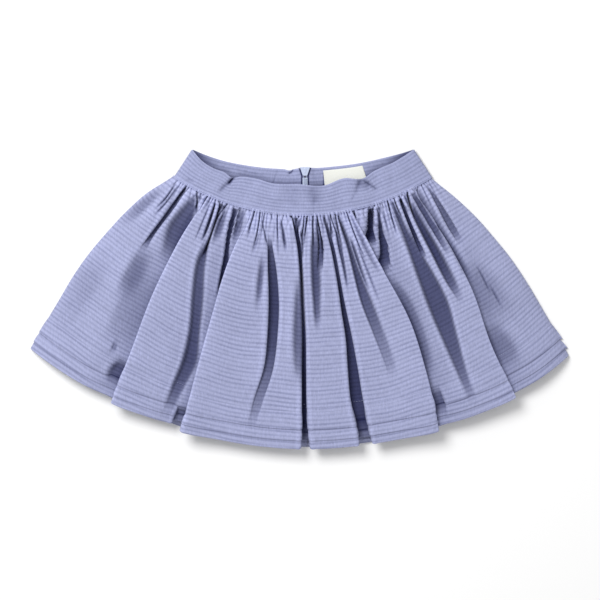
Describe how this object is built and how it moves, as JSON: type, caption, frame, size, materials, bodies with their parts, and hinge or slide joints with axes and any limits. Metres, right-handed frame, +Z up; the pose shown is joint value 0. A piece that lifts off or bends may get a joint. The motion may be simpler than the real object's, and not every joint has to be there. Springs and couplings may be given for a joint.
{
  "type": "gathered skirt",
  "caption": "Child's gathered cotton skirt laid flat, with a shaped waistband, ribbed cloth, tucks above the hem and a hinged zip pull at the centre back.",
  "frame": {"origin": "middle of the laid skirt's outline, on the surface that it lies on", "axes": "+X to the skirt's right as seen from the front, +Y from the hem to the waist, +Z up, out of the front"},
  "size_m": [0.5701, 0.3172, 0.0245],
  "materials": {
    "ribbed_cotton": "matte ribbed weave",
    "band_cotton": "matte ribbed weave",
    "zip_coil": "moulded coil",
    "zip_enamel": "satin enamel",
    "label_satin": "woven satin"
  },
  "bodies": {
    "skirt": {"front_panel": "ribbed_cotton", "back_panel_left": "ribbed_cotton", "back_panel_right": "ribbed_cotton", "front_waistband": "band_cotton", "back_waistband_left": "band_cotton", "back_waistband_right": "band_cotton", "zip_chain": "zip_coil", "zip_slider": "zip_enamel", "label": "label_satin"},
    "pull": {"zip_pull": "zip_enamel"}
  },
  "joints": [
    {"name": "pull_hinge", "type": "hinge", "parent": "skirt", "child": "pull", "pos_m": [0.00586, 0.13401, 0.00215], "axis": [1, 0, 0], "range_deg": [0, 170]}
  ]
}
